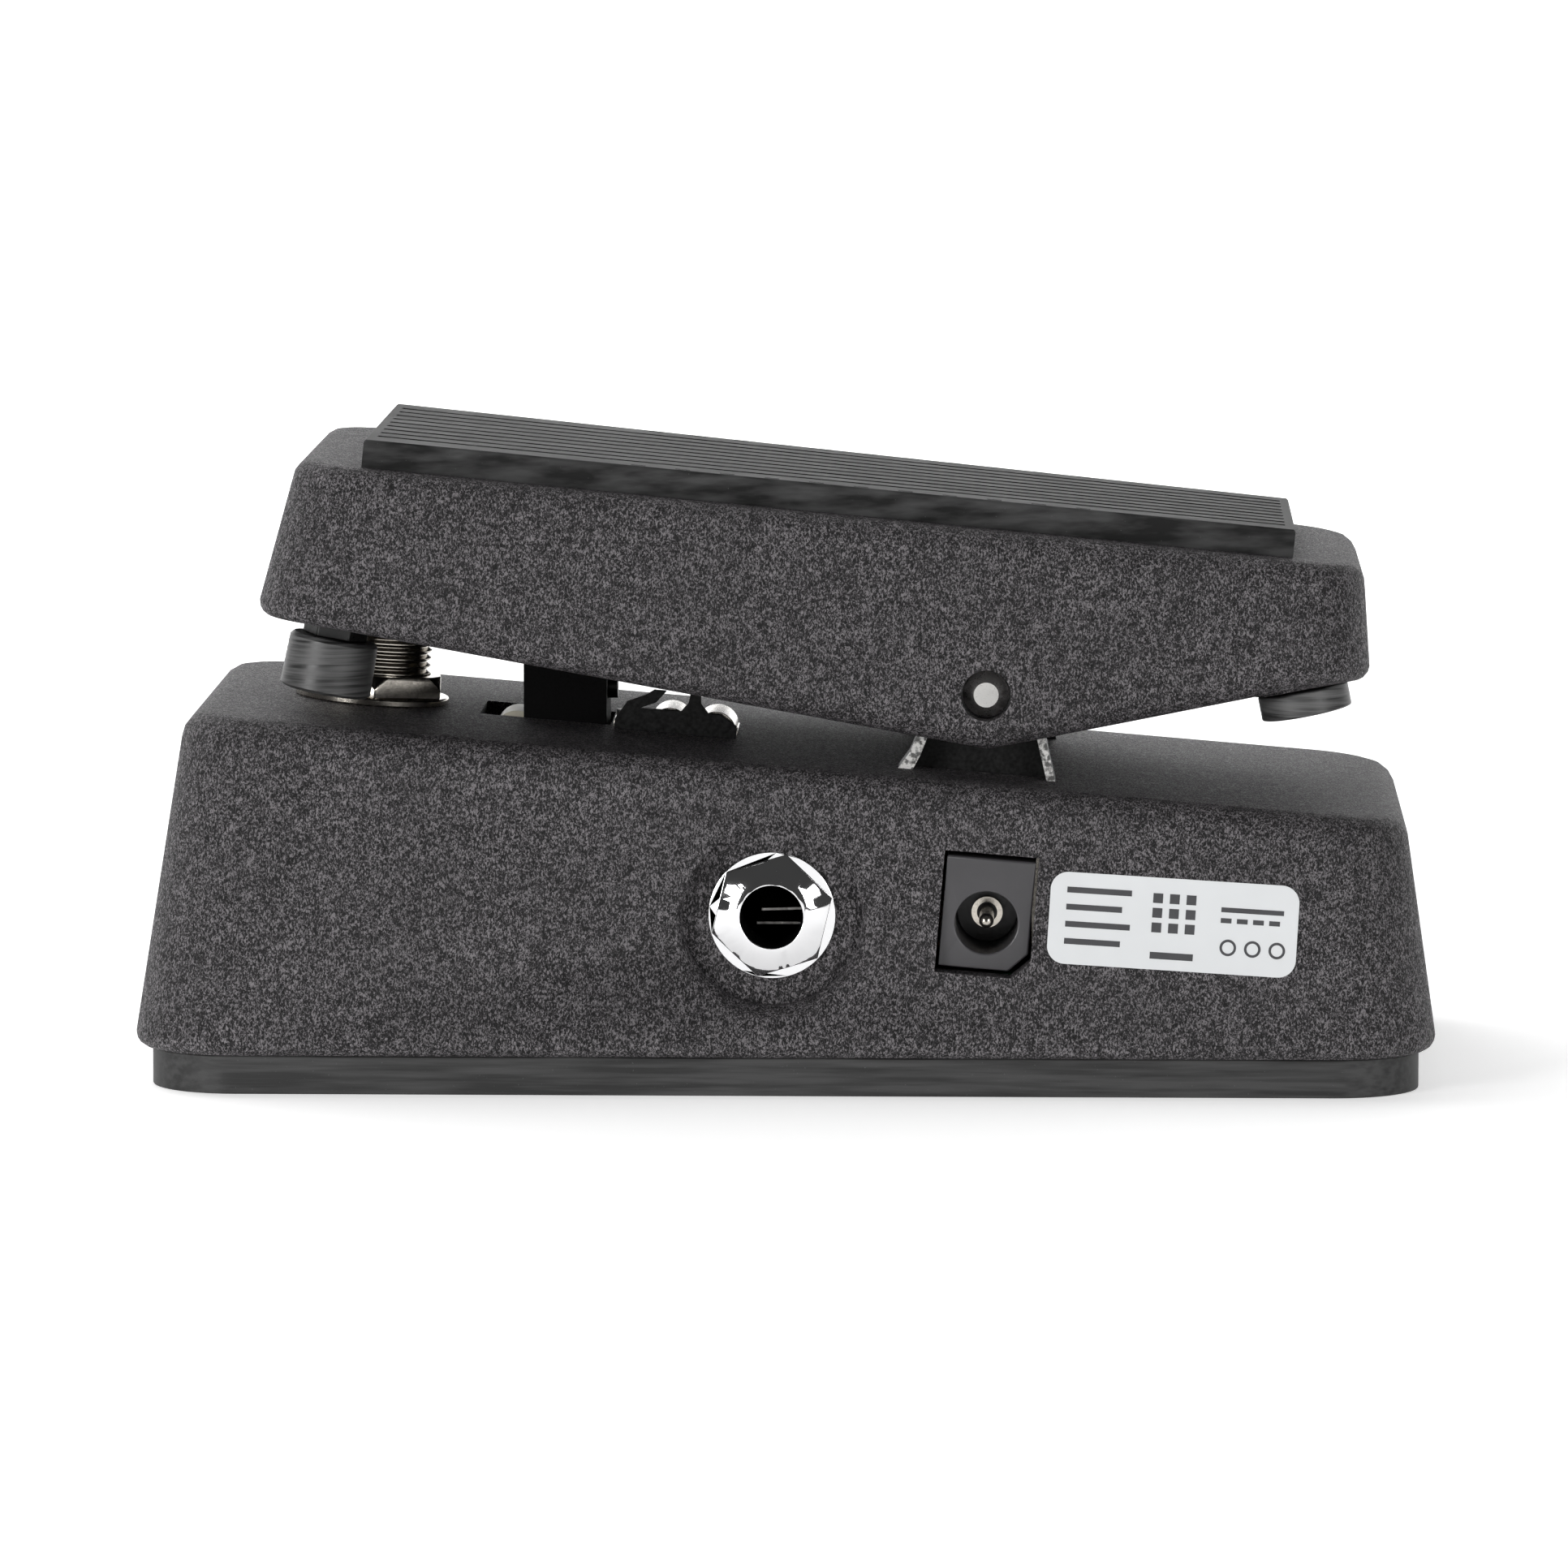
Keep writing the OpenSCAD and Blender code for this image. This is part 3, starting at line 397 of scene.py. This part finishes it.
def tread():
    """The rubber tread: flat ribs along its length, with a plain border round them."""
    border, ribs, groove, depth = 1.0, 10, 1.3, 0.9
    edge, run_out = 0.2, 0.1

    def cross_section(half, drop, grooved):
        """Points of the tread cut across at one station, from side to side."""
        top = TREAD_T - drop
        row = [(-half, 0.0), (-half, top - edge), (-half + edge, top)]
        pitch = 2 * (half - border) / ribs
        for i in range(1, ribs):
            at = -half + border + pitch * i
            floor = top - depth if grooved else top
            row += [(at - groove / 2, top), (at - groove / 4, floor),
                    (at + groove / 4, floor), (at + groove / 2, top)]
        return row + [(half - edge, top), (half, top - edge), (half, 0.0)]

    toe_x, heel_x = TREAD_TOE_X, TREAD_HEEL_X
    stations = [(toe_x, edge, False), (toe_x + edge, 0, False), (toe_x + border, 0, False),
                (toe_x + border + run_out, 0, True), (heel_x - border - run_out, 0, True),
                (heel_x - border, 0, False), (heel_x - edge, 0, False), (heel_x, edge, False)]
    bm = bmesh.new()
    rows = []
    for x, drop, grooved in stations:
        section = cross_section(tread_half(x), drop, grooved)
        rows.append([bm.verts.new((x, y, TREAD_Z + z)) for y, z in section])
    for a, b in zip(rows, rows[1:]):
        for i in range(len(a) - 1):
            bm.faces.new((a[i], a[i + 1], b[i + 1], b[i]))
        bm.faces.new((a[-1], a[0], b[0], b[-1]))
    bm.faces.new(rows[0])
    bm.faces.new(list(reversed(rows[-1])))
    bm.transform(TREADLE_FRAME)
    finish_piece(new_object("ribbed_tread", bm), "treadle", "tread_rubber", ["tread_pad"], angle=25)


def tread_dots():
    """Two rows of small plain dots along the tread's edges, with no meaning."""
    first_x, step, count = -38.0, 4.6, 11
    dx, dy = 1.5 / 2, 0.8 / 2
    inset, sunk, proud = 1.0, 0.1, 0.02
    z = TREAD_Z + TREAD_T - sunk
    bm = bmesh.new()
    for i in range(count):
        x = first_x + step * i
        half = tread_half(x) - inset
        for y in (-half, half):
            corners = [(x - dx, y - dy, z), (x + dx, y - dy, z), (x + dx, y + dy, z), (x - dx, y + dy, z)]
            extrude_outline(bm, corners, (0, 0, sunk + proud))
    bm.transform(TREADLE_FRAME)
    finish_piece(new_object("tread_dots", bm), "treadle", "black_plastic")


def switch_thread():
    """Threaded barrel of the footswitch, its crests one pitch apart."""
    crest, root, bore = 5.95, 5.5, 4.03
    pitch, top, bottom = 0.794, 8.9, -3.0
    flank, flat, chamfer, plain_top = 0.32, 0.1, 0.3, 0.9
    profile = [(bore, bottom), (root, bottom)]
    z = bottom + chamfer
    while z < top - plain_top:
        profile += [(root, z), (crest, z + flank), (crest, z + flank + flat), (root, z + 2 * flank + flat)]
        z += pitch
    profile += [(root, top - chamfer), (root - chamfer, top), (bore, top), (bore, bottom)]
    obj = lathe("switch_thread", profile, base_frame(SWITCH_X), 128)
    finish_piece(obj, "base", "nickel", ["switch_bushing"], angle=20)


def toe_bumper_heads():
    """Turned rubber feet under the toe, slightly flared, with fine tool rings."""
    radius, height, rim = 4.75, 5.7, 0.3
    rings, taper, ring_depth = 14, 0.12, 0.035
    profile = [(0, 0), (radius - 0.35, 0), (radius, rim)]
    for i in range(1, rings):
        z = rim + (height - 0.7) * i / rings
        profile.append((radius - taper * i / rings - (ring_depth if i % 2 else 0.0), z))
    profile += [(radius - 0.15, height - 0.35), (radius - 0.5, height), (0, height)]
    x, y, z = TOE_BUMPER
    for side, name in ((-1, "near"), (1, "far")):
        place = Matrix.Translation((x, side * y, z))
        lean = place @ Matrix.Rotation(math.radians(TOE_BUMPER_LEAN), 4, "Y")
        obj = lathe("toe_bumper_" + name, profile, TREADLE_FRAME @ lean)
        finish_piece(obj, "treadle", "bumper_rubber", ["toe_bumpers"] if side < 0 else (), angle=40)


def jack_springs():
    """Contact springs across each jack's bore, seen on edge from outside."""
    outer_y, deep, thick = 24.5, 4.5, 0.24
    # Each leaf: its two ends along X from the jack's middle, its height and its rise
    leaves = ((-1.3, 3.6, 17.95, 0.15), (-1.8, 2.7, 16.55, 0.0))
    for side, name in ((-1, "near"), (1, "far")):
        bm = bmesh.new()
        y = side * outer_y
        for from_x, to_x, z, rise in leaves:
            x0, x1 = JACK_X + from_x, JACK_X + to_x
            outline = [(x0, y, z), (x1, y, z + rise), (x1, y, z + rise + thick), (x0, y, z + thick)]
            extrude_outline(bm, outline, (0, -side * deep, 0))
        obj = new_object("jack_springs_" + name, bm)
        replaced = ["jack_contacts"] if side < 0 else ()
        finish_piece(obj, "base", "zinc_steel", replaced, angle=20)


def label_print():
    """Plain marks on the label: bars, a grid and three rings, with no meaning."""
    wall_gap, lift, thick = 0.02, 0.14, 0.03
    wall_y = -(HALF_WIDTH - SIDE_DRAFT * (LABEL_Z - LIP_Z))
    place = Matrix.Translation((LABEL_X, wall_y - wall_gap, LABEL_Z))
    face = place @ Matrix.Rotation(math.pi / 2 - math.atan(SIDE_DRAFT), 4, "X")
    face = face @ Matrix.Rotation(math.radians(LABEL_TURN), 4, "Z")
    bm = bmesh.new()

    def bar(x0, y0, x1, y1):
        extrude_outline(bm, [(x0, y0, lift), (x1, y0, lift), (x1, y1, lift), (x0, y1, lift)], (0, 0, thick))

    def ring(x, y, radius, width, steps=32):
        for i in range(steps):
            a, b = (2 * math.pi * k / steps for k in (i, i + 1))
            corners = [(x + r * math.cos(t), y + r * math.sin(t), lift)
                       for r, t in ((radius - width, a), (radius, a), (radius, b), (radius - width, b))]
            extrude_outline(bm, corners, (0, 0, thick))

    # Left: four long bars, every second one shorter
    for row in range(4):
        z = 2.6 - row * 1.75
        bar(-11, z, -4.4 - 0.9 * (row % 2), z + 0.6)
    # Middle: a grid of squares over a short bar
    for i in range(3):
        for j in range(3):
            x, z = -2.2 + i * 1.7, -0.9 + j * 1.5
            bar(x, z, x + 1, z + 1)
    bar(-2.2, -3.6, 2.2, -2.9)
    # Right: a long bar, a broken one and three rings
    bar(4.8, 1.6, 11.2, 2.1)
    for i in range(4):
        x = 4.8 + i * 1.65
        bar(x, 0.5, x + 1.1, 1.0)
    for i in range(3):
        ring(5.7 + i * 2.5, -2.0, 0.85, 0.26)
    bm.transform(face)
    finish_piece(new_object("label_marks", bm), "base", "label_ink")


tread()
tread_dots()
switch_thread()
toe_bumper_heads()
jack_springs()
label_print()
NUT_EDGE, SHEET_EDGE = 0.12, 0.18
for each in ("base_housing", "treadle"):
    refined(each)
for each in ("jack_nuts", "switch_nut"):
    refined(each, NUT_EDGE)
for each in ("switch_washer", "rubber_foot_pad", "heel_bumpers", "dc_jack", "pivot_bracket",
             "toe_bumper_nuts", "rack_arm", "guide_leaf", "rack_guide_clip"):
    refined(each, SHEET_EDGE)

for node, obj in frame["nodes"].items():
    obj.data.materials.clear()
    obj.data.materials.append(MATERIALS[SLOT_OF[node]])


# ---- stage, lights and camera ----


def stage():
    """A pale paper sweep: a floor that curves up into a back wall, slightly glowing."""
    floor_mesh = bpy.data.meshes.new("floor")
    reach, front, back, rise, radius = 3.0, -2.0, 1.2, 1.6, 0.4
    steps = 12
    points = [(front, 0.0), (back - radius, 0.0)]
    for i in range(1, steps + 1):
        t = math.pi / 2 * i / steps
        points.append((back - radius + radius * math.sin(t), radius - radius * math.cos(t)))
    points.append((back, rise))
    verts = [(x, y, z) for y, z in points for x in (-reach, reach)]
    faces = [(2 * i, 2 * i + 1, 2 * i + 3, 2 * i + 2) for i in range(len(points) - 1)]
    floor_mesh.from_pydata(verts, [], faces)
    floor = bpy.data.objects.new("floor", floor_mesh)
    bpy.context.collection.objects.link(floor)
    floor_mesh.shade_smooth()
    s = Shade("paper", (0.95, 0.95, 0.95), 0.8)
    s.bsdf.inputs["Emission Color"].default_value = (1, 1, 1, 1)
    s.bsdf.inputs["Emission Strength"].default_value = 0.5
    grain = s.noise(0.8, detail=2)
    s.color(s.ramp(grain, [(0.3, 0.93), (0.7, 0.97)]))
    floor_mesh.materials.append(s.mat)


def area_light(name, place, target, size, watts):
    """A white lamp that looks at target."""
    data = bpy.data.lights.new(name, "AREA")
    data.shape = "RECTANGLE"
    data.size, data.size_y = size
    data.energy = watts
    obj = bpy.data.objects.new(name, data)
    bpy.context.collection.objects.link(obj)
    obj.location = place
    aim = (Vector(target) - Vector(place)).normalized()
    obj.rotation_mode = "QUATERNION"
    obj.rotation_quaternion = aim.to_track_quat("-Z", "Y")


def camera():
    """A long lens from the side, turned and raised a little."""
    yaw, elevation = math.radians(1.69), math.radians(6.4)
    distance = 1.0328
    target = Vector((0.228, -36.0, 32.367)) * MM
    forward = Vector((-math.sin(yaw) * math.cos(elevation), math.cos(yaw) * math.cos(elevation),
                      -math.sin(elevation)))
    data = bpy.data.cameras.new("camera")
    data.sensor_width = 36
    data.lens = 232.9
    data.clip_start = 0.05
    obj = bpy.data.objects.new("camera", data)
    bpy.context.collection.objects.link(obj)
    obj.location = target - forward * distance
    obj.rotation_mode = "QUATERNION"
    obj.rotation_quaternion = forward.to_track_quat("-Z", "Y")
    bpy.context.scene.camera = obj


def world():
    made = bpy.data.worlds.new("studio")
    made.use_nodes = True
    background = made.node_tree.nodes["Background"]
    background.inputs["Color"].default_value = (1, 1, 1, 1)
    background.inputs["Strength"].default_value = 0.05
    bpy.context.scene.world = made


stage()
world()
MIDDLE = (0, 0, 0.03)
area_light("front_left", (-0.85, -1.0, 0.27), MIDDLE, (0.5, 0.5), 8.5)
area_light("front_right", (0.8, -1.0, 0.3), MIDDLE, (0.5, 0.5), 4.5)
area_light("top_left", (-0.4, 0.25, 0.9), MIDDLE, (0.6, 0.6), 4.5)
area_light("backdrop", (0, 0.5, 0.5), (0, 1.2, 0.3), (1.5, 0.5), 6)
camera()
bpy.context.scene.view_settings.view_transform = "Standard"
